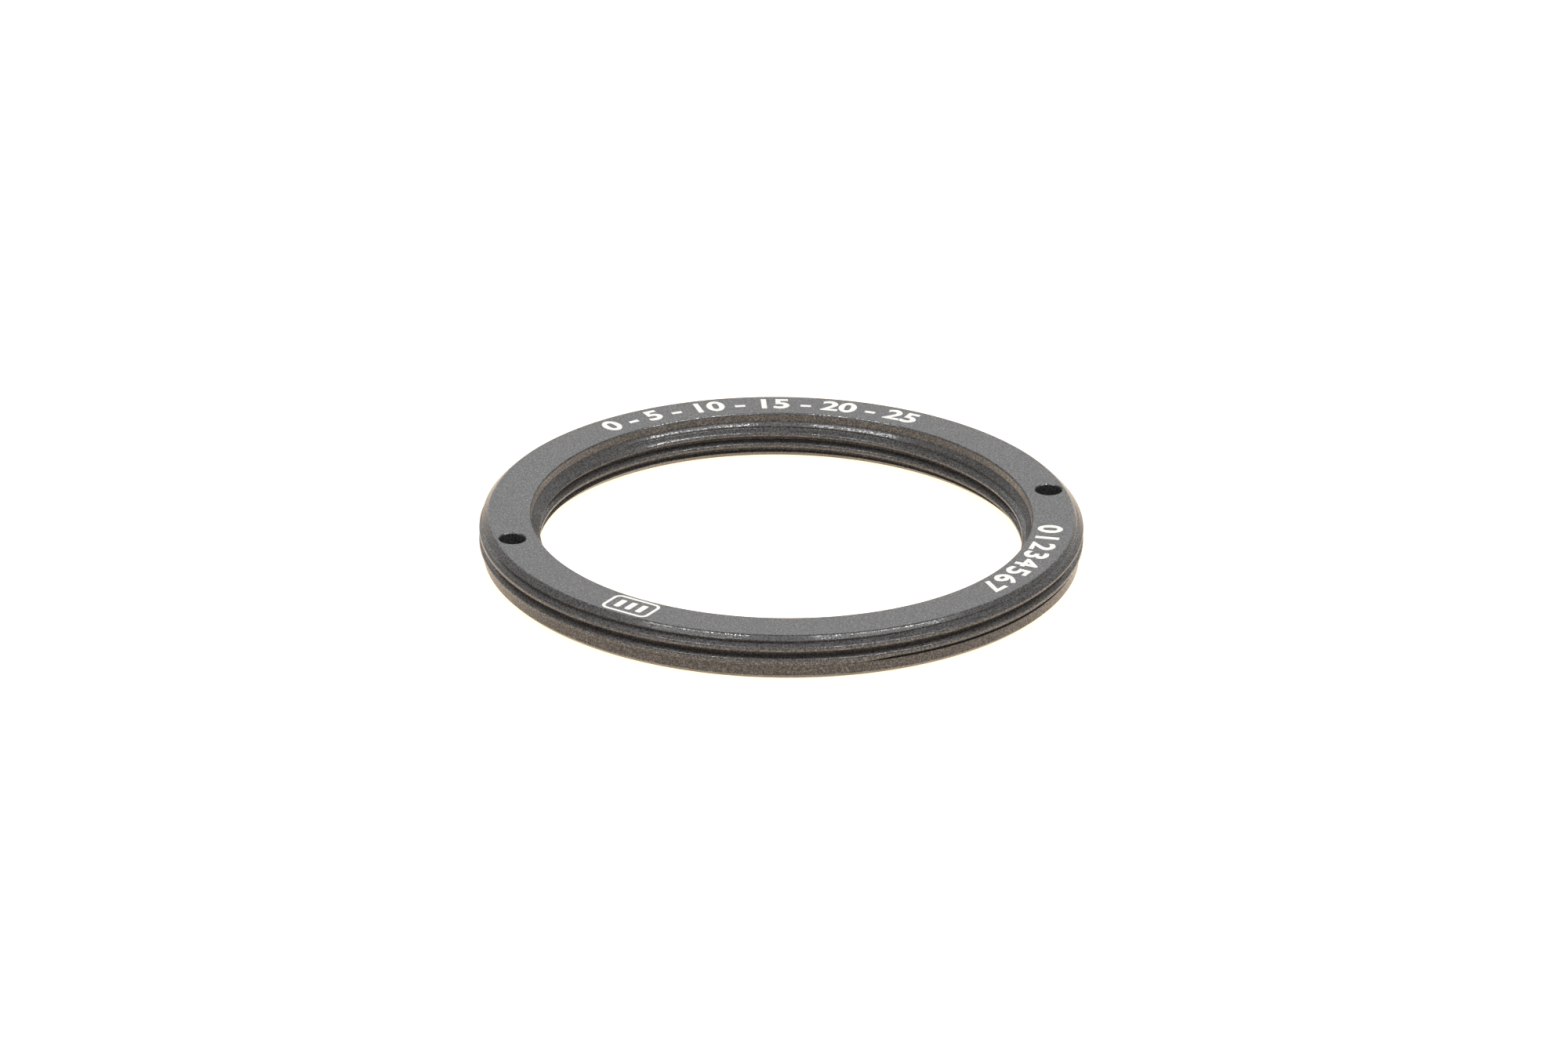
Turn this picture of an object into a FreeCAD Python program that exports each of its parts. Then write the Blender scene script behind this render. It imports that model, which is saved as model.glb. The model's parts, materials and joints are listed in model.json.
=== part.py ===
import FreeCAD, Part
import math
import os

# Threaded adapter ring, turned from one piece of bar. Millimetres, +Z up.
# The origin is the centre of the bottom face; +Z points to the marked face.
# Every other radius is stepped in or out from the bore and the ring's wall.

# Overall sizes
RING_HEIGHT = 3.82
INNER_CREST_R = 20.20
RING_WALL = 5.13
OUTER_CREST_R = INNER_CREST_R + RING_WALL

# Both threads have 60 degree flanks, with a half angle of 30
FLANK_TAN = math.tan(math.radians(30.0))

# Outer thread, 24 turns to the inch, right-handed
OUTER_PITCH = 25.4 / 24.0
OUTER_FLANK_SHARE = 10.0 / 32.0
OUTER_ROOT_SHARE = 2.0 / 32.0

# Inner thread, 1 mm pitch, right-handed
INNER_PITCH = 1.0
INNER_FLANK_SHARE = 10.0 / 32.0
INNER_ROOT_SHARE = 3.0 / 32.0

# Plain band under the outer thread
LAND_HEIGHT = 1.24
LAND_BELOW_CREST = 0.33
LAND_CHAMFER = 0.38

# Where the outer groove's middle starts: an angle about Z and how far it is
# below the band's top edge
OUTER_START_DEG = -100.0
OUTER_START_DROP = 0.043

# Height of the inner groove's middle where it crosses the +X axis
INNER_PHASE_Z = 0.43

# Edges and the counterbore above the inner thread
TOP_CHAMFER = 0.79
BOTTOM_BORE_CHAMFER = 0.74
COUNTERBORE_STEP = 0.80
COUNTERBORE_DEPTH = 0.75
COUNTERBORE_EDGE = 0.10

# The thread cutters pass the crests by this much
CUTTER_OVERRUN = 0.12

# Blind spanner holes in the marked face, on the X axis
HOLE_COUNT = 2
HOLE_R = 1.12
HOLE_DEPTH = 2.0
HOLE_EDGE = 0.08
# Share of the face's spare width that lies outside the holes' rims
HOLE_OUTER_SHARE = 0.183


class Thread:
    """Sizes of one thread groove, worked out from its pitch."""

    def __init__(self, crest_r, inwards, pitch, flank_share, root_share):
        self.crest_r = crest_r
        self.inwards = inwards
        self.pitch = pitch
        self.depth = pitch * flank_share / FLANK_TAN
        self.root_half = pitch * root_share / 2.0

    def radius_at(self, depth):
        """Radius at a depth below the crest; a negative depth is in the air."""
        return self.crest_r - depth if self.inwards else self.crest_r + depth

    def cutter(self, start_deg, start_z, end_z):
        """Solid that the groove fills, from one height of its middle to another."""
        open_half = self.root_half + (self.depth + CUTTER_OVERRUN) * FLANK_TAN
        section = closed_wire([
            at(self.radius_at(-CUTTER_OVERRUN), start_z - open_half),
            at(self.radius_at(self.depth), start_z - self.root_half),
            at(self.radius_at(self.depth), start_z + self.root_half),
            at(self.radius_at(-CUTTER_OVERRUN), start_z + open_half),
        ])
        path = Part.makeLongHelix(self.pitch, end_z - start_z, self.crest_r)
        path.translate(FreeCAD.Vector(0, 0, start_z))
        sweep = Part.BRepOffsetAPI.MakePipeShell(path)
        sweep.setFrenetMode(True)
        sweep.add(section)
        sweep.build()
        sweep.makeSolid()
        groove = sweep.shape()
        groove.rotate(FreeCAD.Vector(0, 0, 0), FreeCAD.Vector(0, 0, 1), start_deg)
        return groove


OUTER_THREAD = Thread(OUTER_CREST_R, True, OUTER_PITCH, OUTER_FLANK_SHARE, OUTER_ROOT_SHARE)
INNER_THREAD = Thread(INNER_CREST_R, False, INNER_PITCH, INNER_FLANK_SHARE, INNER_ROOT_SHARE)


def at(radius, z):
    """Point in the XZ half plane."""
    return FreeCAD.Vector(radius, 0.0, z)


def closed_wire(points):
    return Part.makePolygon(points + [points[0]])


def revolved(points):
    """Full turn of a closed half-plane profile about Z.

    It is two half turns joined, so that no face closes on itself.
    """
    origin = FreeCAD.Vector(0, 0, 0)
    up = FreeCAD.Vector(0, 0, 1)
    front_half = Part.Face(closed_wire(points)).revolve(origin, up, 180)
    back_half = front_half.copy()
    back_half.rotate(origin, up, 180)
    return front_half.fuse(back_half)


def outside_profile():
    """Outside of the turned blank, from the bottom edge up to the top edge."""
    land_r = OUTER_CREST_R - LAND_BELOW_CREST
    ramp_rise = LAND_BELOW_CREST * FLANK_TAN
    return [
        at(land_r - LAND_CHAMFER, 0.0),
        at(land_r, LAND_CHAMFER),
        at(land_r, LAND_HEIGHT),
        at(OUTER_CREST_R, LAND_HEIGHT + ramp_rise),
        at(OUTER_CREST_R, RING_HEIGHT - TOP_CHAMFER),
        at(OUTER_CREST_R - TOP_CHAMFER, RING_HEIGHT),
    ]


def inside_profile():
    """Inside of the turned blank, from the top edge down to the bottom edge."""
    counterbore_r = INNER_CREST_R + COUNTERBORE_STEP
    floor_z = RING_HEIGHT - COUNTERBORE_DEPTH
    return [
        at(counterbore_r + COUNTERBORE_EDGE, RING_HEIGHT),
        at(counterbore_r, RING_HEIGHT - COUNTERBORE_EDGE),
        at(counterbore_r, floor_z),
        at(INNER_CREST_R, floor_z - COUNTERBORE_STEP),
        at(INNER_CREST_R, BOTTOM_BORE_CHAMFER),
        at(INNER_CREST_R + BOTTOM_BORE_CHAMFER, 0.0),
    ]


def outer_groove():
    """Starts on top of the band, which it leaves whole, and runs out above."""
    groove = OUTER_THREAD.cutter(
        OUTER_START_DEG,
        LAND_HEIGHT - OUTER_START_DROP,
        RING_HEIGHT + OUTER_PITCH / 2.0)
    above_band = Part.makeCylinder(
        OUTER_CREST_R + OUTER_PITCH,
        RING_HEIGHT + OUTER_PITCH,
        FreeCAD.Vector(0, 0, LAND_HEIGHT))
    return groove.common(above_band)


def inner_groove():
    """Runs from below the bottom face up into the counterbore."""
    turns_below = math.ceil(INNER_PHASE_Z / INNER_PITCH + 0.5)
    return INNER_THREAD.cutter(
        0.0,
        INNER_PHASE_Z - turns_below * INNER_PITCH,
        RING_HEIGHT - COUNTERBORE_DEPTH)


def hole_pitch_radius():
    """Radius of the spanner holes' centres, set by the flat face's two edges."""
    face_outer_r = OUTER_CREST_R - TOP_CHAMFER
    face_inner_r = INNER_CREST_R + COUNTERBORE_STEP + COUNTERBORE_EDGE
    rim_r = HOLE_R + HOLE_EDGE
    spare_width = face_outer_r - face_inner_r - 2.0 * rim_r
    return face_outer_r - spare_width * HOLE_OUTER_SHARE - rim_r


def spanner_hole(angle_deg):
    """Blind hole with a small broken edge, just inside the top chamfer."""
    pitch_r = hole_pitch_radius()
    above_face = RING_HEIGHT + HOLE_R
    drill = revolved([
        at(0.0, RING_HEIGHT - HOLE_DEPTH),
        at(HOLE_R, RING_HEIGHT - HOLE_DEPTH),
        at(HOLE_R, RING_HEIGHT - HOLE_EDGE),
        at(HOLE_R + HOLE_EDGE, RING_HEIGHT),
        at(HOLE_R + HOLE_EDGE, above_face),
        at(0.0, above_face),
    ])
    angle = math.radians(angle_deg)
    drill.translate(FreeCAD.Vector(
        pitch_r * math.cos(angle), pitch_r * math.sin(angle), 0))
    return drill


def adapter_ring():
    """The finished ring: turned blank, two threads, two spanner holes."""
    ring = revolved(outside_profile() + inside_profile())
    ring = ring.cut(outer_groove())
    ring = ring.cut(inner_groove())
    for index in range(HOLE_COUNT):
        ring = ring.cut(spanner_hole(360.0 * index / HOLE_COUNT))
    return ring


def main():
    os.makedirs("parts", exist_ok=True)
    ring = adapter_ring()
    if len(ring.Solids) != 1 or not ring.isValid():
        raise RuntimeError("the ring must be one valid solid")
    ring.Solids[0].exportStep("parts/adapter_ring.step")


main()
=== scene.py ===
"""Looks for a threaded adapter ring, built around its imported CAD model."""

import json
import logging
import math
from dataclasses import dataclass, fields
from enum import Enum
from typing import Any, Callable, Mapping, Sequence

import bpy
from mathutils import Matrix, Quaternion, Vector


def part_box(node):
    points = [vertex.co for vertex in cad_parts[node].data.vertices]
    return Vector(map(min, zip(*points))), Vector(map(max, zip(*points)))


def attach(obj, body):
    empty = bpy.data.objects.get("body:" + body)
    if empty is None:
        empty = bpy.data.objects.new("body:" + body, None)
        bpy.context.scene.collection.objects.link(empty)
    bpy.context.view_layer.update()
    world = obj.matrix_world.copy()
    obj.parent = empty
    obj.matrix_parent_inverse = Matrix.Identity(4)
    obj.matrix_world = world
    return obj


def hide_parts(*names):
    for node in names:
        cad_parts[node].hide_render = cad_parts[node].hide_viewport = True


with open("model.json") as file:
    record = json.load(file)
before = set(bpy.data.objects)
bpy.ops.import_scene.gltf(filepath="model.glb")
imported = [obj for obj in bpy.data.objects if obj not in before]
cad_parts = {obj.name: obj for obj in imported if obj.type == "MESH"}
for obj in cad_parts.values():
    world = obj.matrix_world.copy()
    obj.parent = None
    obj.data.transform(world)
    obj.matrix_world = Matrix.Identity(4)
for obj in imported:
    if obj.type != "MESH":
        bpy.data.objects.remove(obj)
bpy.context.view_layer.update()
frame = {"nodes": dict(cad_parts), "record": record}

LOG = logging.getLogger("adapter_ring")
MM = 0.001
RING_NODE = "adapter_ring"
BODY = "root"
WELD_M = 1e-6
INK_WELD_MM = 2e-5
CORNER_STEPS = 5
CREASE_ANGLE = math.radians(40.0)
LINES_PER_PITCH = 32


# Node trees written as expressions


class Wire:
    """One output socket, with the arithmetic that its tree can do on it."""

    def __init__(self, graph: "Graph", socket: bpy.types.NodeSocket) -> None:
        """Keeps the socket and the graph that it belongs to."""
        self.graph = graph
        self.socket = socket

    def _math(self, operation: str, *values: Any) -> "Wire":
        """Adds one Math node that has these values on its sockets."""
        return self.graph.math(operation, *values)

    def __add__(self, other: Any) -> "Wire":
        """Sum."""
        return self._math("ADD", self, other)

    def __radd__(self, other: Any) -> "Wire":
        """Sum, number first."""
        return self._math("ADD", other, self)

    def __sub__(self, other: Any) -> "Wire":
        """Difference."""
        return self._math("SUBTRACT", self, other)

    def __rsub__(self, other: Any) -> "Wire":
        """Difference, number first."""
        return self._math("SUBTRACT", other, self)

    def __mul__(self, other: Any) -> "Wire":
        """Product."""
        return self._math("MULTIPLY", self, other)

    def __rmul__(self, other: Any) -> "Wire":
        """Product, number first."""
        return self._math("MULTIPLY", other, self)

    def __truediv__(self, other: Any) -> "Wire":
        """Quotient."""
        return self._math("DIVIDE", self, other)

    def __neg__(self) -> "Wire":
        """Opposite sign."""
        return self._math("MULTIPLY", self, -1.0)

    def at_least(self, other: Any) -> "Wire":
        """The larger of two values."""
        return self._math("MAXIMUM", self, other)

    def at_most(self, other: Any) -> "Wire":
        """The smaller of two values."""
        return self._math("MINIMUM", self, other)

    def softly_at_most(self, other: Any, width: Any) -> "Wire":
        """The smaller of two values, rounded where they meet."""
        return self._math("SMOOTH_MIN", self, other, width)

    def softly_at_least(self, other: Any, width: Any) -> "Wire":
        """The larger of two values, rounded where they meet."""
        return self._math("SMOOTH_MAX", self, other, width)

    def above(self, limit: Any) -> "Wire":
        """One where the value is over the limit, and zero elsewhere."""
        return self._math("GREATER_THAN", self, limit)

    def ramp(self, low: float, high: float) -> "Wire":
        """Zero at or below low, one at or above high, smooth between."""
        return self.graph.node(
            "ShaderNodeMapRange",
            {"interpolation_type": "SMOOTHSTEP"},
            {"Value": self, "From Min": low, "From Max": high},
            "Result",
        )


class Graph:
    """A shader or geometry tree that is being built."""

    def __init__(self, tree: bpy.types.NodeTree) -> None:
        """Keeps the tree."""
        self.tree = tree

    def node(
        self,
        kind: str,
        settings: Mapping[str, Any] | None = None,
        values: Mapping[str | int, Any] | None = None,
        output: str | int = 0,
    ) -> Wire:
        """Adds one node.

        Args:
            kind: The node's type name.
            settings: The node's own properties, set before its sockets.
            values: Numbers, vectors or wires for its input sockets.
            output: Name or number of the output wanted.

        Returns:
            The output that was asked for.
        """
        made = self.tree.nodes.new(kind)
        for name, value in (settings or {}).items():
            setattr(made, name, value)
        for key, value in (values or {}).items():
            self.plug(made.inputs[key], value)
        return Wire(self, made.outputs[output]) if made.outputs else Wire(self, None)

    def plug(self, socket: bpy.types.NodeSocket, value: Any) -> None:
        """Links a wire, or several wires, to a socket, or sets its number."""
        several = isinstance(value, (list, tuple)) and value and isinstance(value[0], Wire)
        for wire in value if several else [value]:
            if isinstance(wire, Wire):
                self.tree.links.new(wire.socket, socket)
            else:
                socket.default_value = wire

    def math(self, operation: str, *values: Any) -> Wire:
        """Adds one Math node."""
        return self.node("ShaderNodeMath", {"operation": operation}, dict(enumerate(values)), "Value")

    def scaled(self, vector: Any, factor: float) -> Wire:
        """A vector times a number."""
        return self.node(
            "ShaderNodeVectorMath", {"operation": "SCALE"}, {"Vector": vector, "Scale": factor}, "Vector"
        )

    def combine(self, x: Any, y: Any, z: Any) -> Wire:
        """Joins three values to one vector."""
        return self.node("ShaderNodeCombineXYZ", None, {"X": x, "Y": y, "Z": z}, "Vector")

    def separate(self, vector: Any) -> tuple[Wire, Wire, Wire]:
        """Splits a vector into its three values."""
        first = self.node("ShaderNodeSeparateXYZ", None, {"Vector": vector}, "X")
        outputs = first.socket.node.outputs
        return first, Wire(self, outputs["Y"]), Wire(self, outputs["Z"])

    def choose(self, kind: str, index: Wire, options: Sequence[Any]) -> Wire:
        """Picks one of several values of one kind by its number."""
        made = self.tree.nodes.new("GeometryNodeIndexSwitch")
        made.data_type = kind
        while len(made.index_switch_items) < len(options):
            made.index_switch_items.new()
        self.plug(made.inputs["Index"], index)
        for number, option in enumerate(options):
            self.plug(made.inputs[number + 1], option)
        return Wire(self, made.outputs[0])

    def blend(self, share: Any, first: Any, second: Any) -> Wire:
        """Mixes two colours by a share from zero to one."""
        made = self.tree.nodes.new("ShaderNodeMix")
        made.data_type = "RGBA"
        inputs = [s for s in made.inputs if s.enabled]
        for socket, value in zip(inputs, (share, first, second)):
            self.plug(socket, value)
        return Wire(self, next(s for s in made.outputs if s.enabled))


# Geometry trees with named sizes


class SizedTree(Graph):
    """A geometry tree whose named inputs are the fields of a dataclass."""

    SOCKETS = {float: "NodeSocketFloat", int: "NodeSocketInt", str: "NodeSocketString"}

    def __init__(self, name: str, sizes: Any) -> None:
        """Makes the tree and one input for each size.

        Args:
            name: The tree's name.
            sizes: A dataclass with numbers or text in its fields.
        """
        super().__init__(bpy.data.node_groups.new(name, "GeometryNodeTree"))
        self.sizes = sizes
        interface = self.tree.interface
        interface.new_socket("Geometry", in_out="OUTPUT", socket_type="NodeSocketGeometry")
        self.identifiers = {}
        for size in fields(sizes):
            kind = self.SOCKETS[type(getattr(sizes, size.name))]
            socket = interface.new_socket(self.label(size.name), in_out="INPUT", socket_type=kind)
            self.identifiers[size.name] = socket.identifier
        self.entry = self.tree.nodes.new("NodeGroupInput")

    @staticmethod
    def label(name: str) -> str:
        """The name of a size as a person reads it."""
        return name.replace("_", " ").capitalize()

    def size(self, name: str) -> Wire:
        """The wire of one named size."""
        return Wire(self, self.entry.outputs[self.label(name)])

    def position(self) -> Wire:
        """Where the point being worked on is."""
        return self.node("GeometryNodeInputPosition")

    def sheet(self, columns: Any, rows: Any, place: Callable[[Wire, Wire], tuple[Wire, Wire]]) -> Wire:
        """Turns a flat grid into a surface round the Z axis.

        Args:
            columns: Steps in a full turn.
            rows: Steps from the first edge to the last.
            place: Gives a radius and a height, in millimetres, for a share of
                the full turn and a row's number.

        Returns:
            The surface, in metres.
        """
        grid = self.node(
            "GeometryNodeMeshGrid",
            None,
            {"Size X": 1.0, "Size Y": 1.0, "Vertices X": columns + 1, "Vertices Y": rows + 1},
            "Mesh",
        )
        x, y, _ = self.separate(self.position())
        turn = x + 0.5
        row = self.math("ROUND", (y + 0.5) * rows)
        radius, height = place(turn, row)
        angle = turn * math.tau
        around = self.combine(
            self.math("COSINE", angle) * radius, self.math("SINE", angle) * radius, height
        )
        metres = self.scaled(around, MM)
        return self.node("GeometryNodeSetPosition", None, {"Geometry": grid, "Position": metres}, "Geometry")

    def spin(self, columns: Any, corners: Sequence[tuple[Any, Any]], rounding: Sequence[Any]) -> Wire:
        """Spins an open outline into a surface.

        Args:
            columns: Steps in a full turn.
            corners: Radius and height of each corner, in millimetres.
            rounding: Radius of each corner's rounding, or none for sharp ones.

        Returns:
            The surface, in metres.
        """
        line = self.node(
            "GeometryNodeMeshLine", None, {"Count": len(corners), "Offset": (1.0, 0.0, 0.0)}, "Mesh"
        )
        spots = [self.combine(radius, height, 0.0) for radius, height in corners]
        index = self.node("GeometryNodeInputIndex")
        placed = self.node(
            "GeometryNodeSetPosition",
            None,
            {"Geometry": line, "Position": self.choose("VECTOR", index, spots)},
            "Geometry",
        )
        outline = self.node("GeometryNodeMeshToCurve", None, {"Mesh": placed}, "Curve")
        if rounding:
            radius = self.choose("FLOAT", index, rounding)
            outline = self.node(
                "GeometryNodeFilletCurve",
                {"mode": "POLY"},
                {"Curve": outline, "Radius": radius, "Count": CORNER_STEPS, "Limit Radius": True},
                "Curve",
            )
        count = self.node(
            "GeometryNodeAttributeDomainSize", {"component": "CURVE"}, {"Geometry": outline}, "Point Count"
        )

        def on_outline(_turn: Wire, row: Wire) -> tuple[Wire, Wire]:
            """Reads the outline's point that has the row's number."""
            spot = self.node(
                "GeometryNodeSampleIndex",
                {"data_type": "FLOAT_VECTOR", "domain": "POINT"},
                {"Geometry": outline, "Value": self.position(), "Index": row},
                "Value",
            )
            radius, height, _ = self.separate(spot)
            return radius, height

        return self.sheet(columns, count - 1, on_outline)

    def join(self, parts: Sequence[Wire], distance: float = WELD_M) -> Wire:
        """Joins surfaces and welds the edges that they share, within a distance."""
        ordered = list(reversed(parts))
        joined = self.node("GeometryNodeJoinGeometry", None, {"Geometry": ordered}, "Geometry")
        return self.node(
            "GeometryNodeMergeByDistance", None, {"Geometry": joined, "Distance": distance}, "Geometry"
        )

    def close(self, geometry: Wire, material: bpy.types.Material) -> None:
        """Ends the tree: smooth faces, sharp creases, realised, one material."""
        smooth = self.node(
            "GeometryNodeSetShadeSmooth", {"domain": "FACE"}, {"Geometry": geometry}, "Geometry"
        )
        angle = self.node("GeometryNodeInputMeshEdgeAngle", None, None, "Unsigned Angle")
        crease = angle.above(CREASE_ANGLE)
        soft = self.node("FunctionNodeBooleanMath", {"operation": "NOT"}, {0: crease}, "Boolean")
        creased = self.node(
            "GeometryNodeSetShadeSmooth",
            {"domain": "EDGE"},
            {"Geometry": smooth, "Shade Smooth": soft},
            "Geometry",
        )
        realised = self.node("GeometryNodeRealizeInstances", None, {"Geometry": creased}, "Geometry")
        dressed = self.node(
            "GeometryNodeSetMaterial", None, {"Geometry": realised, "Material": material}, "Geometry"
        )
        leaving = self.tree.nodes.new("NodeGroupOutput")
        self.tree.links.new(dressed.socket, leaving.inputs["Geometry"])

    def make(self, name: str) -> bpy.types.Object:
        """Runs the tree once and keeps its result as a plain mesh.

        Args:
            name: The new piece's name.

        Returns:
            An object at the origin with no modifiers left.
        """
        piece = bpy.data.objects.new(name, bpy.data.meshes.new(name))
        bpy.context.scene.collection.objects.link(piece)
        modifier = piece.modifiers.new("build", "NODES")
        modifier.node_group = self.tree
        for size in fields(self.sizes):
            modifier[self.identifiers[size.name]] = getattr(self.sizes, size.name)
        flats = piece.modifiers.new("flat_faces", "WEIGHTED_NORMAL")
        flats.keep_sharp = True
        graph = bpy.context.evaluated_depsgraph_get()
        mesh = bpy.data.meshes.new_from_object(piece.evaluated_get(graph))
        piece.modifiers.clear()
        empty = piece.data
        piece.data = mesh
        bpy.data.meshes.remove(empty)
        mesh.name = name
        return piece


# The ring


def mount(name: str) -> Mapping[str, Any]:
    """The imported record's mount of this name."""
    return next(m for m in frame["record"]["mounts"] if m["name"] == name)


RING_TOP_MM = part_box(RING_NODE)[1][2] / MM
OUTER_CREST_MM = mount("outer_thread")["dims"]["r_mm"]
INNER_CREST_MM = mount("inner_thread")["dims"]["r_mm"]
HOLE_CIRCLE_MM = mount("spanner_holes")["dims"]["pcd_mm"] / 2.0
HOLE_MM = mount("spanner_holes")["dims"]["hole_r_mm"]


@dataclass(frozen=True)
class RingSizes:
    """Sizes of the turned ring, in millimetres."""

    height: float = RING_TOP_MM
    outer_crest_radius: float = OUTER_CREST_MM
    inner_crest_radius: float = INNER_CREST_MM
    outer_pitch: float = 25.4 / 24.0
    inner_pitch: float = 1.0
    outer_groove_height: float = 1.491
    inner_groove_height: float = 0.43
    outer_start_turn: float = 260.0 / 360.0
    outer_start_fade: float = 0.05
    band_height: float = 1.24
    band_below_crest: float = 0.33
    band_chamfer: float = 0.38
    top_chamfer: float = 0.79
    bore_chamfer: float = 0.74
    counterbore_step: float = 0.80
    counterbore_depth: float = 0.75
    counterbore_edge: float = 0.10
    hole_circle_radius: float = HOLE_CIRCLE_MM
    hole_radius: float = HOLE_MM
    hole_depth: float = 2.0
    hole_edge: float = 0.08
    crest_rounding: float = 0.24
    edge_rounding: float = 0.07
    corner_rounding: float = 0.05
    rim_rounding: float = 0.26
    steps_round: int = 400


class ThreadSide(Enum):
    """Which wall a thread is cut in: its direction, half root flat and first line.

    The root flat is a share of the pitch, and the first line one of a step.
    """

    OUTER = (1.0, 1.0 / 32.0, 0.0)
    INNER = (-1.0, 1.5 / 32.0, 0.5)


class RingTree(SizedTree):
    """The turned and threaded ring as one closed surface.

    Thread lines follow the helix, and stop at the heights where the turned
    shape has an edge of its own.
    """

    FLANK_SLOPE = math.sqrt(3.0)
    FLANK_SHARE = 10.0 / 32.0
    EDGE_ROWS = 6
    EDGE_REACH = 0.6  # how far past an edge its rounding goes, as a share of its radius
    MID_BAND_SHARE = 0.7  # height of the extra line round the plain band, as a share of the band
    HOLE_STEPS = 64
    CUTTER_CLEAR = 0.5  # how far the hole cutters stand over the face, in millimetres

    def __init__(self, sizes: RingSizes, material: bpy.types.Material) -> None:
        """Builds the whole tree."""
        super().__init__("threaded_ring", sizes)
        self.prepare()
        parts = [self.lower_outline(), *self.outer_wall(), self.upper_outline(), *self.inner_wall()]
        drilled = self.node(
            "GeometryNodeMeshBoolean",
            {"operation": "DIFFERENCE", "solver": "EXACT"},
            {"Mesh 1": self.join(parts), "Mesh 2": self.hole_cutters()},
            "Mesh",
        )
        self.close(drilled, material)

    def prepare(self) -> None:
        """Works out the heights and radii that several surfaces share."""
        size = self.size
        self.height = size("height")
        self.crest_out = size("outer_crest_radius")
        self.crest_in = size("inner_crest_radius")
        self.depth_out = size("outer_pitch") * (self.FLANK_SHARE * self.FLANK_SLOPE)
        self.depth_in = size("inner_pitch") * (self.FLANK_SHARE * self.FLANK_SLOPE)
        self.band_r = self.crest_out - size("band_below_crest")
        self.step_top_z = size("band_height") + size("band_below_crest") / self.FLANK_SLOPE
        self.chamfer_z = self.height - size("top_chamfer")
        self.counterbore_r = self.crest_in + size("counterbore_step")
        self.counterbore_z = self.height - size("counterbore_depth")
        self.cone_z = self.counterbore_z - size("counterbore_step")
        self.edge = size("edge_rounding")
        self.outer_stop_z = self.height - size("rim_rounding") * self.EDGE_REACH
        self.inner_stop_z = self.counterbore_z - size("rim_rounding") * self.EDGE_REACH
        self.inner_start_z = size("edge_rounding")

    def thread_radius(self, side: ThreadSide, turn: Wire, z: Wire) -> Wire:
        """Radius of the endless thread at a share of a turn and a height."""
        sign, root_half_share, _ = side.value
        outer = side is ThreadSide.OUTER
        pitch = self.size("outer_pitch" if outer else "inner_pitch")
        phase = self.size("outer_groove_height" if outer else "inner_groove_height")
        crest = self.crest_out if outer else self.crest_in
        depth = self.depth_out if outer else self.depth_in
        turns = (z - phase) / pitch - turn
        from_root = self.math("PINGPONG", turns, 0.5) * pitch - pitch * root_half_share
        rise = from_root.softly_at_least(0.0, self.size("edge_rounding")) * self.FLANK_SLOPE
        if outer:
            begun = self.groove_begun(turn, turns)
            depth = depth * begun - self.size("crest_rounding") * (1.0 - begun)
        return crest - (depth - rise) * sign

    def groove_begun(self, turn: Wire, turns: Wire) -> Wire:
        """Zero before the outer groove's start, one soon after it."""
        start = self.size("outer_start_turn")
        along = self.math("ROUND", turns) + turn - start + 1.0
        return (along / self.size("outer_start_fade")).at_least(0.0).at_most(1.0)

    def outer_radius(self, turn: Wire, z: Wire) -> Wire:
        """Radius of the outside: thread, step on the band, crests and chamfer."""
        soft = self.size("edge_rounding")
        step = self.band_r + (z - self.size("band_height")) * self.FLANK_SLOPE
        chamfer = self.crest_out - (z - self.chamfer_z)
        cut = self.thread_radius(ThreadSide.OUTER, turn, z)
        crests = cut.softly_at_most(self.crest_out, self.size("crest_rounding"))
        return crests.softly_at_most(step, soft).softly_at_most(chamfer, soft)

    def inner_radius(self, turn: Wire, z: Wire) -> Wire:
        """Radius of the bore: thread, crests, the cone above and the chamfer below."""
        soft = self.size("edge_rounding")
        cone = self.crest_in + (z - self.cone_z)
        chamfer = self.crest_in + (self.size("bore_chamfer") - z)
        cut = self.thread_radius(ThreadSide.INNER, turn, z)
        cut = cut.softly_at_least(self.crest_in, self.size("crest_rounding"))
        return cut.softly_at_least(cone, soft).softly_at_least(chamfer, soft)

    def helical_band(self, side: ThreadSide, low: Wire, high: Wire) -> Wire:
        """A stretch of wall whose lines run along the thread."""
        _, _, first_line = side.value
        outer = side is ThreadSide.OUTER
        pitch = self.size("outer_pitch" if outer else "inner_pitch")
        phase = self.size("outer_groove_height" if outer else "inner_groove_height")
        below = self.math("FLOOR", (low - phase) / pitch) - 1.0
        above = self.math("CEIL", (high - phase) / pitch)
        rows = (above - below) * float(LINES_PER_PITCH)
        radius_at = self.outer_radius if outer else self.inner_radius

        def place(turn: Wire, row: Wire) -> tuple[Wire, Wire]:
            """Follows the helix up to the band's two edges."""
            line = row if outer else rows - row
            turns = below + turn + (line - first_line) / float(LINES_PER_PITCH)
            z = (phase + turns * pitch).at_least(low).at_most(high)
            return radius_at(turn, z), z

        return self.sheet(self.size("steps_round"), rows, place)

    def level_band(self, side: ThreadSide, low: Wire, high: Wire) -> Wire:
        """A narrow stretch of wall over a turned edge, with level lines."""
        outer = side is ThreadSide.OUTER
        radius_at = self.outer_radius if outer else self.inner_radius

        def place(turn: Wire, row: Wire) -> tuple[Wire, Wire]:
            """Steps evenly from one edge of the band to the other."""
            share = row / float(self.EDGE_ROWS)
            z = low + (high - low) * (share if outer else 1.0 - share)
            return radius_at(turn, z), z

        return self.sheet(self.size("steps_round"), self.EDGE_ROWS, place)

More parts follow.
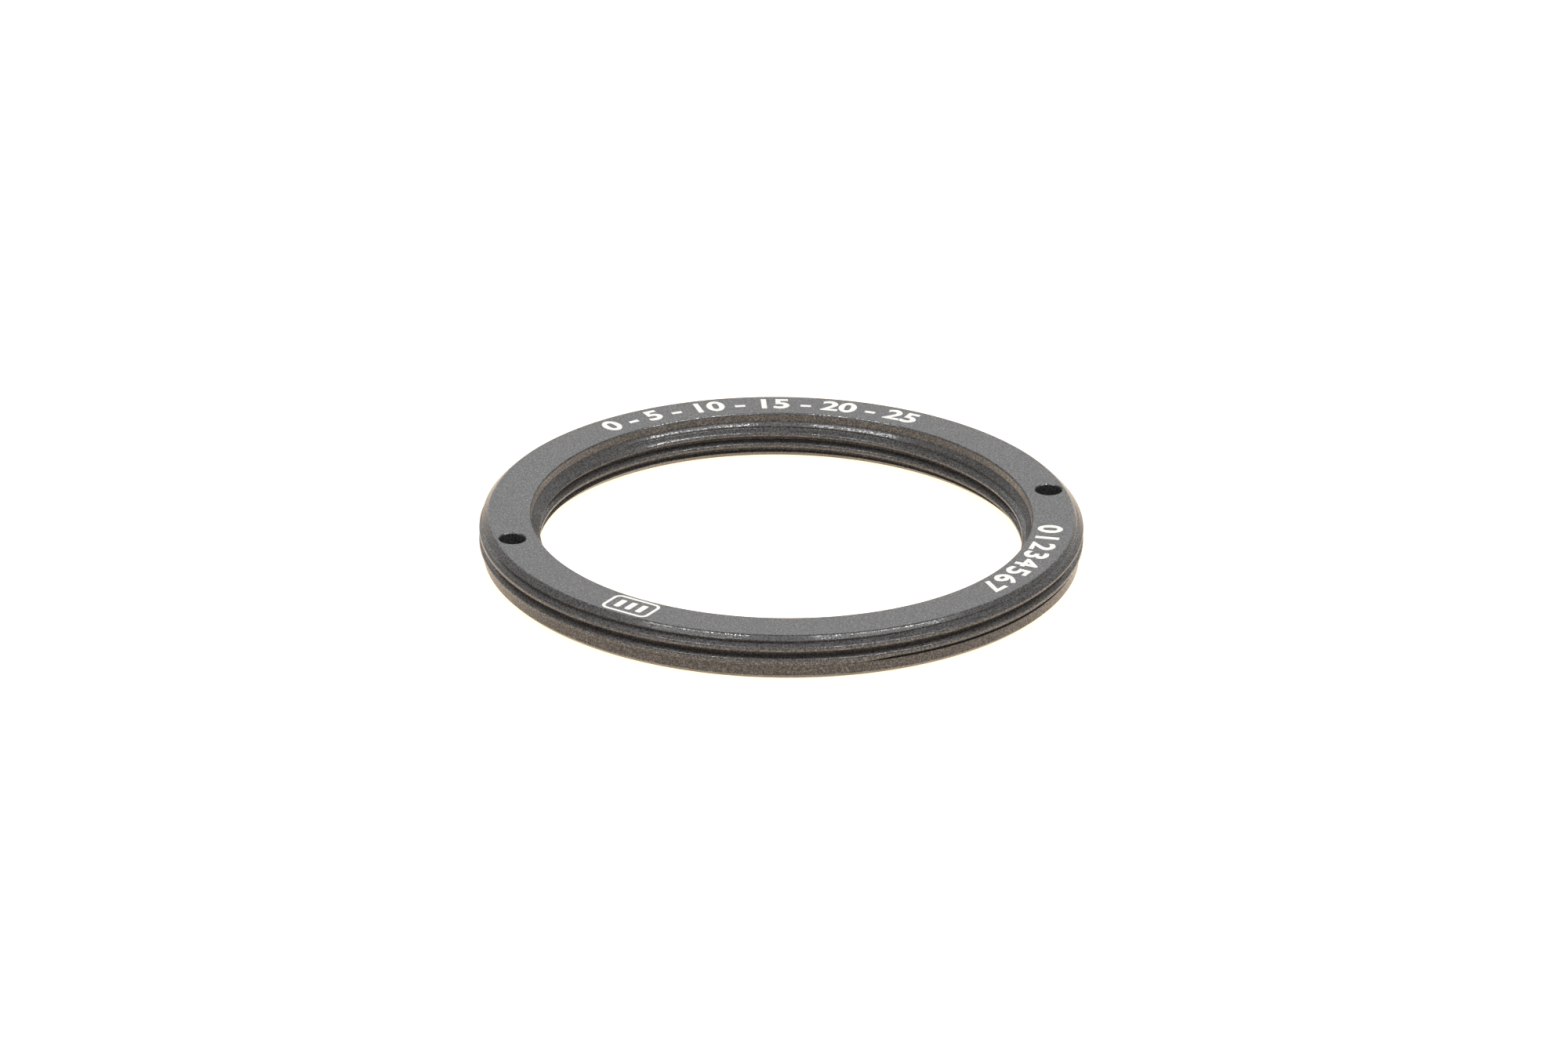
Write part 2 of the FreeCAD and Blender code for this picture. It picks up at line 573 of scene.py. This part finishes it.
    def outer_wall(self) -> list[Wire]:
        """The outside from the band's top edge to the marked face's rim."""
        step_low = self.step_top_z - self.edge * self.EDGE_REACH
        step_high = self.step_top_z + self.edge * self.EDGE_REACH
        top_low = self.chamfer_z - self.edge
        top_high = self.chamfer_z + self.edge
        side = ThreadSide.OUTER
        return [
            self.ledge(),
            self.helical_band(side, self.size("band_height"), step_low),
            self.level_band(side, step_low, step_high),
            self.helical_band(side, step_high, top_low),
            self.level_band(side, top_low, top_high),
            self.helical_band(side, top_high, self.outer_stop_z),
        ]

    def ledge(self) -> Wire:
        """The part of the band's top that the groove's first turn uncovers."""
        level = self.size("band_height")

        def place(turn: Wire, row: Wire) -> tuple[Wire, Wire]:
            """Goes from the band's edge to the wall at the same height."""
            return self.band_r + (self.outer_radius(turn, level) - self.band_r) * row, level

        return self.sheet(self.size("steps_round"), 1, place)

    def inner_wall(self) -> list[Wire]:
        """The bore from the cone under the counterbore to the bottom edge."""
        cone_low = self.cone_z - self.edge
        cone_high = self.cone_z + self.edge
        bottom_low = self.size("bore_chamfer") - self.edge
        bottom_high = self.size("bore_chamfer") + self.edge
        side = ThreadSide.INNER
        return [
            self.helical_band(side, cone_high, self.inner_stop_z),
            self.level_band(side, cone_low, cone_high),
            self.helical_band(side, bottom_high, cone_low),
            self.level_band(side, bottom_low, bottom_high),
            self.helical_band(side, self.inner_start_z, bottom_low),
        ]

    def lower_outline(self) -> Wire:
        """Bottom face and the plain band, from the bore to the thread."""
        size = self.size
        middle = size("band_height") * self.MID_BAND_SHARE
        corners = [
            (self.crest_in + size("bore_chamfer") - self.inner_start_z, self.inner_start_z),
            (self.crest_in + size("bore_chamfer"), 0.0),
            (self.band_r - size("band_chamfer"), 0.0),
            (self.band_r, size("band_chamfer")),
            (self.band_r, middle),
            (self.band_r, size("band_height")),
        ]
        return self.spin(size("steps_round"), corners, [size("corner_rounding")] * len(corners))

    def upper_outline(self) -> Wire:
        """Marked face and counterbore, from the top chamfer to the cone."""
        size = self.size
        corners = [
            (self.crest_out - (self.outer_stop_z - self.chamfer_z), self.outer_stop_z),
            (self.crest_out - size("top_chamfer"), self.height),
            (self.counterbore_r + size("counterbore_edge"), self.height),
            (self.counterbore_r, self.height - size("counterbore_edge")),
            (self.counterbore_r, self.counterbore_z),
            (self.crest_in + (self.inner_stop_z - self.cone_z), self.inner_stop_z),
        ]
        small, large = size("corner_rounding"), size("rim_rounding")
        return self.spin(size("steps_round"), corners, [small, large, small, small, large, small])

    def hole_cutters(self) -> Wire:
        """The drilled shape of a spanner hole, one on each side of the ring."""
        size = self.size
        clear = self.CUTTER_CLEAR
        mouth_r = size("hole_radius") + size("hole_edge") + clear
        corners = [
            (0.0, self.height - size("hole_depth")),
            (size("hole_radius"), self.height - size("hole_depth")),
            (size("hole_radius"), self.height - size("hole_edge")),
            (mouth_r, self.height + clear),
            (0.0, self.height + clear),
        ]
        drill = self.join([self.spin(self.HOLE_STEPS, corners, [])])
        across = self.scaled(self.combine(size("hole_circle_radius"), 0.0, 0.0), MM)
        start, step = self.scaled(across, -1.0), self.scaled(across, 2.0)
        spots = self.node(
            "GeometryNodeMeshLine", None, {"Count": 2, "Start Location": start, "Offset": step}, "Mesh"
        )
        drills = self.node(
            "GeometryNodeInstanceOnPoints", None, {"Points": spots, "Instance": drill}, "Instances"
        )
        return self.node("GeometryNodeRealizeInstances", None, {"Geometry": drills}, "Geometry")


# White markings on the marked face


class InkTree(SizedTree):
    """A tree that turns flat outlines on the marked face into a film of ink."""

    def raise_ink(self, outlines: Wire, material: bpy.types.Material) -> None:
        """Fills the outlines, gives the film its thickness and ends the tree.

        Args:
            outlines: Closed curves in millimetres, already in their place.
            material: The ink.
        """
        film = self.node("GeometryNodeFillCurve", {"mode": "NGONS"}, {"Curve": outlines}, "Mesh")
        underside = self.node("GeometryNodeFlipFaces", None, {"Mesh": film}, "Mesh")
        rise = self.combine(0.0, 0.0, self.size("film_thickness") + self.size("film_sunk"))
        raised = self.node(
            "GeometryNodeExtrudeMesh",
            {"mode": "FACES"},
            {"Mesh": film, "Offset": rise, "Individual": False},
            "Mesh",
        )
        level = self.combine(0.0, 0.0, (self.size("face_height") - self.size("film_sunk")) * MM)
        film = self.join([underside, raised], INK_WELD_MM)
        whole = self.node(
            "GeometryNodeTransform",
            None,
            {"Geometry": film, "Translation": level, "Scale": (MM, MM, MM)},
            "Geometry",
        )
        self.close(whole, material)

    def on_ring(self, radius: Wire, angle: Wire) -> tuple[Wire, Wire]:
        """Where a mark at this radius and angle stands, and how it is turned."""
        spot = self.combine(self.math("COSINE", angle) * radius, self.math("SINE", angle) * radius, 0.0)
        turned = self.combine(0.0, 0.0, angle - math.pi / 2.0)
        return spot, turned


@dataclass(frozen=True)
class NumberRowSizes:
    """Sizes of a row of figures round the ring, in millimetres and degrees."""

    figures: str
    figure_height: float
    baseline_radius: float
    first_angle: float
    last_angle: float
    stroke_gain: float = 0.11
    widening: float = 1.16
    face_height: float = RING_TOP_MM
    film_thickness: float = 0.015
    film_sunk: float = 0.010


class NumberRow(InkTree):
    """Figures set one by one round the ring, with their tops outwards."""

    FIGURE_SHARE = 0.729  # a figure's height as a share of the typeface's size

    def __init__(self, sizes: NumberRowSizes, material: bpy.types.Material) -> None:
        """Builds the whole tree."""
        super().__init__("number_row", sizes)
        size = self.size
        letters = self.tree.nodes.new("GeometryNodeStringToCurves")
        letters.font = self.plain_font()
        letters.pivot_mode = "BOTTOM_CENTER"
        self.plug(letters.inputs["String"], size("figures"))
        self.plug(letters.inputs["Size"], size("figure_height") / self.FIGURE_SHARE)
        pivot = Wire(self, letters.outputs["Pivot Point"])
        glyphs, angle = self.spread(Wire(self, letters.outputs["Curve Instances"]), pivot)
        centred = self.node(
            "GeometryNodeSetPosition",
            None,
            {"Geometry": glyphs, "Position": self.flat(pivot)},
            "Geometry",
        )
        wide = self.node(
            "GeometryNodeScaleInstances",
            None,
            {"Instances": centred, "Scale": self.combine(size("widening"), 1.0, 1.0), "Local Space": False},
            "Instances",
        )
        spot, turned = self.on_ring(size("baseline_radius"), angle)
        faced = self.node(
            "GeometryNodeRotateInstances",
            None,
            {"Instances": wide, "Rotation": turned, "Local Space": False},
            "Instances",
        )
        placed = self.node(
            "GeometryNodeTranslateInstances",
            None,
            {"Instances": faced, "Translation": spot, "Local Space": False},
            "Instances",
        )
        outlines = self.node("GeometryNodeRealizeInstances", None, {"Geometry": placed}, "Geometry")
        self.raise_ink(self.embolden(outlines), material)

    @staticmethod
    def plain_font() -> bpy.types.VectorFont:
        """Blender's own typeface, which needs no file."""
        holder = bpy.data.curves.new("typeface", "FONT")
        font = holder.font
        bpy.data.curves.remove(holder)
        return font

    def flat(self, pivot: Wire) -> Wire:
        """Moves a glyph so that the middle of its foot is at the origin."""
        x, _, _ = self.separate(pivot)
        return self.combine(-x, 0.0, 0.0)

    def spread(self, glyphs: Wire, pivot: Wire) -> tuple[Wire, Wire]:
        """Shares the row's arc out in the way that the typeface spaces it."""
        left, _, _ = self.separate(self.position())
        foot, _, _ = self.separate(pivot)
        middle = left + foot
        reach = self.node(
            "GeometryNodeAttributeStatistic",
            {"data_type": "FLOAT", "domain": "INSTANCE"},
            {"Geometry": glyphs, "Attribute": middle},
            "Min",
        )
        span = Wire(self, reach.socket.node.outputs["Range"])
        first = self.math("RADIANS", self.size("first_angle"))
        last = self.math("RADIANS", self.size("last_angle"))
        held = self.tree.nodes.new("GeometryNodeCaptureAttribute")
        held.domain = "INSTANCE"
        held.capture_items.new("FLOAT", "Angle")
        self.plug(held.inputs[0], glyphs)
        self.plug(held.inputs[1], first + (middle - reach) / span * (last - first))
        return Wire(self, held.outputs[0]), Wire(self, held.outputs[1])

    def embolden(self, outlines: Wire) -> Wire:
        """Moves the outlines out on their own normals for heavier strokes."""
        tangent = self.node("GeometryNodeInputTangent")
        x, y, _ = self.separate(tangent)
        gain = self.size("stroke_gain")
        shift = self.combine(y * gain, -x * gain, 0.0)
        return self.node(
            "GeometryNodeSetPosition", None, {"Geometry": outlines, "Offset": shift}, "Geometry"
        )


@dataclass(frozen=True)
class BadgeSizes:
    """Sizes of the plain framed mark, in millimetres and degrees."""

    frame_width: float = 4.5
    frame_height: float = 2.9
    frame_line: float = 0.28
    corner_radius: float = 0.7
    bar_count: int = 3
    bar_width: float = 0.55
    bar_height: float = 1.45
    bar_step: float = 1.05
    middle_radius: float = 22.78
    middle_angle: float = -137.1
    face_height: float = RING_TOP_MM
    film_thickness: float = 0.015
    film_sunk: float = 0.010


class Badge(InkTree):
    """A rounded frame round a few upright bars."""

    BAR_CORNER_SHARE = 0.3  # radius of a bar's corners as a share of its width

    def __init__(self, sizes: BadgeSizes, material: bpy.types.Material) -> None:
        """Builds the whole tree."""
        super().__init__("framed_mark", sizes)
        size = self.size
        line = size("frame_line") * 2.0
        radius = size("corner_radius")
        frame_edge = self.rounded(size("frame_width"), size("frame_height"), radius)
        opening = self.rounded(
            size("frame_width") - line, size("frame_height") - line, radius - size("frame_line")
        )
        bar = self.rounded(size("bar_width"), size("bar_height"), size("bar_width") * self.BAR_CORNER_SHARE)
        reach = size("bar_step") * (size("bar_count") - 1)
        spots = self.node(
            "GeometryNodeMeshLine",
            None,
            {
                "Count": size("bar_count"),
                "Start Location": self.combine(reach * -0.5, 0.0, 0.0),
                "Offset": self.combine(size("bar_step"), 0.0, 0.0),
            },
            "Mesh",
        )
        bars = self.node(
            "GeometryNodeInstanceOnPoints", None, {"Points": spots, "Instance": bar}, "Instances"
        )
        bars = self.node("GeometryNodeRealizeInstances", None, {"Geometry": bars}, "Geometry")
        outlines = self.node(
            "GeometryNodeJoinGeometry", None, {"Geometry": [frame_edge, opening, bars]}, "Geometry"
        )
        angle = self.math("RADIANS", size("middle_angle"))
        spot, turned = self.on_ring(size("middle_radius"), angle)
        placed = self.node(
            "GeometryNodeTransform",
            None,
            {"Geometry": outlines, "Translation": spot, "Rotation": turned},
            "Geometry",
        )
        self.raise_ink(placed, material)

    def rounded(self, width: Any, height: Any, radius: Any) -> Wire:
        """A rectangle with round corners, as a closed curve."""
        plain = self.node(
            "GeometryNodeCurvePrimitiveQuadrilateral",
            {"mode": "RECTANGLE"},
            {"Width": width, "Height": height},
            "Curve",
        )
        return self.node(
            "GeometryNodeFilletCurve",
            {"mode": "POLY"},
            {"Curve": plain, "Radius": radius, "Count": CORNER_STEPS * 2, "Limit Radius": True},
            "Curve",
        )


# Finishes


class Surface(Graph):
    """A material's tree, with its shader and a place in millimetres."""

    def __init__(self, name: str) -> None:
        """Makes an empty material."""
        self.material = bpy.data.materials.new(name)
        self.material.use_nodes = True
        super().__init__(self.material.node_tree)
        self.tree.nodes.clear()
        inside = self.node("ShaderNodeTexCoord", None, None, "Object")
        self.place = self.scaled(inside, 1.0 / MM)
        x, y, _ = self.separate(self.place)
        self.radius = self.math("SQRT", x * x + y * y)

    def noise(self, scale: float, detail: float = 2.0, roughness: float = 0.5) -> Wire:
        """Soft noise from zero to one with this many features in a millimetre."""
        return self.node(
            "ShaderNodeTexNoise",
            None,
            {"Vector": self.place, "Scale": scale, "Detail": detail, "Roughness": roughness},
            "Fac",
        )

    def specks(self, spacing: float, size: float, share: float) -> Wire:
        """Round specks of dust: one where there is a speck, zero elsewhere.

        Args:
            spacing: Distance between the places where a speck can lie.
            size: Radius of the largest speck.
            share: How many of the places have one.
        """
        cells = self.node(
            "ShaderNodeTexVoronoi", None, {"Vector": self.place, "Scale": 1.0 / spacing}, "Distance"
        )
        chance, amount, _ = self.separate(Wire(self, cells.socket.node.outputs["Color"]))
        reach = (0.4 + 0.6 * amount) * (size / spacing)
        return (1.0 - cells.above(reach)) * (1.0 - chance.above(share))

    def finish(self, settings: Mapping[str, Any]) -> bpy.types.Material:
        """Adds the shader with these sockets and returns the material."""
        shader = self.node("ShaderNodeBsdfPrincipled", None, settings, "BSDF")
        self.node("ShaderNodeOutputMaterial", None, {"Surface": shader})
        return self.material


@dataclass(frozen=True)
class BlackAnodising:
    """Matte black anodised film over bead-blasted aluminium.

    Pairs of edges are where a pattern starts and where it is full. Wear, and
    the painted highlight along the crests, go by the distance from the thread
    crests, in millimetres.
    """

    deep: tuple[float, float, float, float] = (0.016, 0.016, 0.017, 1.0)
    pale: tuple[float, float, float, float] = (0.078, 0.075, 0.073, 1.0)
    # bare metal where the film is rubbed through, also used as a painted highlight along the thread crests
    bare: tuple[float, float, float, float] = (0.30, 0.29, 0.28, 1.0)
    dust: tuple[float, float, float, float] = (0.75, 0.73, 0.70, 1.0)
    grains_per_mm: float = 6.5
    fine_ratio: float = 2.3
    fine_share: float = 0.3
    blotches_per_mm: float = 0.35
    blotch_share: float = 0.2
    pit_edges: tuple[float, float] = (0.42, 0.58)
    film_edges: tuple[float, float] = (0.51, 0.61)
    wear_edges: tuple[float, float] = (0.50, 0.66)
    wear: float = 0.30
    wear_outside: tuple[float, float] = (0.06, 0.005)
    wear_inside: tuple[float, float] = (0.004, 0.05)
    dust_spacing: float = 1.5
    dust_size: float = 0.06
    dust_share: float = 0.035
    smooth: float = 0.20
    rough: float = 0.42
    relief: float = 3.0e-5
    ior: float = 1.42
    film_gloss: float = 0.11
    film_ior: float = 1.9

    def material(self) -> bpy.types.Material:
        """Builds the node tree."""
        surface = Surface("black_anodising")
        grain = surface.noise(self.grains_per_mm, detail=3.0, roughness=0.7)
        fine = surface.noise(self.grains_per_mm * self.fine_ratio, detail=1.0)
        blotch = surface.noise(self.blotches_per_mm)
        mixed = grain * (1.0 - self.fine_share) + fine * self.fine_share
        pitted = mixed.ramp(*self.pit_edges)
        patchy = pitted * (1.0 - self.blotch_share) + blotch * self.blotch_share
        tone = surface.blend(patchy, self.deep, self.pale)
        # painted highlight mixed with wear: the crests of both threads take the light bare-metal colour,
        # broken up by fine grain
        worn_and_highlit = self.crest_wear_and_highlight(surface) * fine.ramp(*self.wear_edges)
        tone = surface.blend(worn_and_highlit, tone, self.bare)
        speck = surface.specks(self.dust_spacing, self.dust_size, self.dust_share)
        tone = surface.blend(speck, tone, self.dust)
        gloss = self.smooth + (self.rough - self.smooth) * pitted
        film = (grain * 0.5 + fine * 0.5).ramp(*self.film_edges)
        bump = surface.node(
            "ShaderNodeBump",
            None,
            {"Strength": 1.0, "Distance": self.relief, "Height": mixed},
            "Normal",
        )
        return surface.finish(
            {
                "Base Color": tone,
                "Roughness": gloss,
                "IOR": self.ior,
                "Normal": bump,
                "Coat Weight": film,
                "Coat Roughness": self.film_gloss,
                "Coat IOR": self.film_ior,
            }
        )

    def crest_wear_and_highlight(self, surface: Surface) -> Wire:
        """Where handling rubs the film thin, plus a painted highlight: on the crests of both threads."""
        far, near = self.wear_outside
        outer = surface.radius.ramp(OUTER_CREST_MM - far, OUTER_CREST_MM - near)
        near, far = self.wear_inside
        inner = 1.0 - surface.radius.ramp(INNER_CREST_MM + near, INNER_CREST_MM + far)
        return (outer + inner) * self.wear


@dataclass(frozen=True)
class WhiteInk:
    """Screen-printed white ink, thin enough to show the grain under it."""

    full: tuple[float, float, float, float] = (0.83, 0.815, 0.78, 1.0)
    thin: tuple[float, float, float, float] = (0.50, 0.49, 0.47, 1.0)
    grains_per_mm: float = 8.0
    thin_edges: tuple[float, float] = (0.56, 0.78)
    smooth: float = 0.5
    rough: float = 0.7
    relief: float = 4e-6

    def material(self) -> bpy.types.Material:
        """Builds the node tree."""
        surface = Surface("white_ink")
        grain = surface.noise(self.grains_per_mm, roughness=0.6)
        tone = surface.blend(grain.ramp(*self.thin_edges), self.full, self.thin)
        bump = surface.node(
            "ShaderNodeBump", None, {"Strength": 1.0, "Distance": self.relief, "Height": grain}, "Normal"
        )
        gloss = self.smooth + grain * (self.rough - self.smooth)
        return surface.finish({"Base Color": tone, "Roughness": gloss, "Normal": bump})


# Sub-assemblies


@dataclass
class AdapterRing:
    """The ring itself, which stands for the CAD solid."""

    sizes: RingSizes = RingSizes()
    finish: BlackAnodising = BlackAnodising()

    def build(self) -> list[bpy.types.Object]:
        """Makes the ring."""
        material = self.finish.material()
        paint_cad_solid(material)
        ring = RingTree(self.sizes, material).make("threaded_ring")
        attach(ring, BODY)
        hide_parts(RING_NODE)
        return [ring]


@dataclass
class FaceMarkings:
    """The white markings, each a thin film of ink on the marked face."""

    ink: WhiteInk = WhiteInk()
    dial_row: NumberRowSizes = NumberRowSizes(
        "0 - 5 - 10 - 15 - 20 - 25",
        figure_height=1.9, baseline_radius=22.1, first_angle=114.7, last_angle=47.7,
    )
    counting_row: NumberRowSizes = NumberRowSizes(
        "01234567",
        figure_height=2.0, baseline_radius=21.7, first_angle=-20.5, last_angle=-53.2,
    )
    badge: BadgeSizes = BadgeSizes()

    def build(self) -> list[bpy.types.Object]:
        """Makes the markings."""
        material = self.ink.material()
        pieces = [
            NumberRow(self.dial_row, material).make("dial_figures"),
            NumberRow(self.counting_row, material).make("counting_figures"),
            Badge(self.badge, material).make("framed_mark"),
        ]
        for piece in pieces:
            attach(piece, BODY)
        return pieces


def paint_cad_solid(material: bpy.types.Material) -> None:
    """Gives the CAD solid the ring's finish."""
    for slot in frame["nodes"][RING_NODE].material_slots:
        slot.material = material


# Studio and camera


@dataclass
class SoftLight:
    """A rectangular soft light that faces the ring, in metres and degrees."""

    name: str
    azimuth: float
    elevation: float
    distance: float
    width: float
    height: float
    radiance: float
    roll: float = 0.0

    def build(self) -> None:
        """Adds the light."""
        light = bpy.data.lights.new(self.name, "AREA")
        light.shape = "RECTANGLE"
        light.size = self.width
        light.size_y = self.height
        light.energy = self.radiance * math.pi * self.width * self.height
        lamp = bpy.data.objects.new(self.name, light)
        bpy.context.scene.collection.objects.link(lamp)
        away = direction(self.azimuth, self.elevation)
        lamp.location = away * self.distance
        rolled = Quaternion((0.0, 0.0, 1.0), math.radians(self.roll))
        lamp.rotation_euler = (away.to_track_quat("Z", "Y") @ rolled).to_euler()


def direction(azimuth: float, elevation: float) -> Vector:
    """Unit vector at an angle about +Z and a height, both in degrees."""
    turn, tilt = math.radians(azimuth), math.radians(elevation)
    return Vector((math.cos(turn) * math.cos(tilt), math.sin(turn) * math.cos(tilt), math.sin(tilt)))


@dataclass
class Studio:
    """Pale floor, even surroundings and three soft lights, in metres."""

    floor_reach: float = 6.0
    floor_gap: float = 0.00003
    floor_tone: tuple[float, float, float, float] = (0.36, 0.34, 0.32, 1.0)
    floor_glow: tuple[float, float, float, float] = (1.0, 0.80, 0.61, 1.0)
    floor_glow_strength: float = 1.28
    floor_patch: tuple[float, float, float, float] = (0.9, 0.9, 0.9, 1.0)
    floor_patch_share: float = 0.05
    floor_patches_per_mm: float = 0.002
    floor_roughness: float = 0.9
    surroundings: float = 0.56

    def build(self) -> None:
        """Adds the floor, the surroundings and the lights."""
        self.build_floor()
        self.build_surroundings()
        for light in self.lights():
            light.build()
        bpy.context.scene.view_settings.view_transform = "Standard"

    def build_floor(self) -> None:
        """A wide plain floor just under the ring."""
        mesh = bpy.data.meshes.new("floor")
        reach, level = self.floor_reach, -self.floor_gap
        corners = [(x * reach, y * reach, level) for x, y in ((-1, -1), (1, -1), (1, 1), (-1, 1))]
        mesh.from_pydata(corners, [], [(0, 1, 2, 3)])
        surface = Surface("floor")
        shade = surface.noise(self.floor_patches_per_mm, detail=1.0)
        tone = surface.blend(shade * self.floor_patch_share, self.floor_tone, self.floor_patch)
        mesh.materials.append(
            surface.finish(
                {
                    "Base Color": tone,
                    "Roughness": self.floor_roughness,
                    "Emission Color": self.floor_glow,
                    "Emission Strength": self.floor_glow_strength,
                }
            )
        )
        floor = bpy.data.objects.new("floor", mesh)
        bpy.context.scene.collection.objects.link(floor)

    def build_surroundings(self) -> None:
        """Even light from every side."""
        world = bpy.data.worlds.new("surroundings")
        bpy.context.scene.world = world
        world.use_nodes = True
        background = world.node_tree.nodes["Background"]
        background.inputs["Color"].default_value = (1.0, 1.0, 1.0, 1.0)
        background.inputs["Strength"].default_value = self.surroundings

    def lights(self) -> list[SoftLight]:
        """The lights: a broad one behind, and two strips high in front."""
        return [
            SoftLight(
                "back_panel",
                azimuth=75.7, elevation=26.0, distance=2.4, width=2.8, height=1.5, radiance=0.92,
            ),
            SoftLight(
                "left_strip",
                azimuth=-157.7, elevation=64.4, distance=1.6, width=0.75, height=0.14, radiance=24.0,
                roll=28.2,
            ),
            SoftLight(
                "right_strip",
                azimuth=-43.5, elevation=62.5, distance=1.6, width=0.98, height=0.14, radiance=24.0,
                roll=-31.3,
            ),
        ]


@dataclass
class MainView:
    """The camera that the picture is taken with, in degrees and millimetres."""

    azimuth: float = -104.3
    elevation: float = 24.0705
    roll: float = 0.7218
    distance: float = 1327.36
    scale: float = 15.2035
    shift_right: float = -3.8595
    shift_down: float = 42.0194
    image_width: int = 2000
    sensor: float = 36.0
    nearest_m: float = 0.05
    farthest_m: float = 50.0

    def build(self) -> bpy.types.Object:
        """Adds the camera and makes it the scene's own."""
        back = direction(self.azimuth, self.elevation)
        right = Vector((0.0, 0.0, 1.0)).cross(back).normalized()
        up = back.cross(right)
        turn = math.radians(self.roll)
        across = right * math.cos(turn) + up * math.sin(turn)
        upwards = up * math.cos(turn) - right * math.sin(turn)
        place = back * self.distance
        place -= across * (self.shift_right / self.scale)
        place += upwards * (self.shift_down / self.scale)
        lens = bpy.data.cameras.new("main_view")
        lens.sensor_width = self.sensor
        lens.lens = self.scale * self.distance * self.sensor / self.image_width
        lens.clip_start = self.nearest_m
        lens.clip_end = self.farthest_m
        camera = bpy.data.objects.new("main_view", lens)
        bpy.context.scene.collection.objects.link(camera)
        turned = Matrix((across, upwards, back)).transposed().to_4x4()
        camera.matrix_world = Matrix.Translation(place * MM) @ turned
        bpy.context.scene.camera = camera
        return camera


# Everything, in order


def main() -> None:
    """Builds every sub-assembly and reports each piece."""
    logging.basicConfig(level=logging.INFO, format="%(name)s: %(message)s")
    MainView().build()
    for assembly in (AdapterRing(), FaceMarkings()):
        for piece in assembly.build():
            LOG.info("%s: %d faces", piece.name, len(piece.data.polygons))
    Studio().build()


if __name__ == "__main__":
    main()
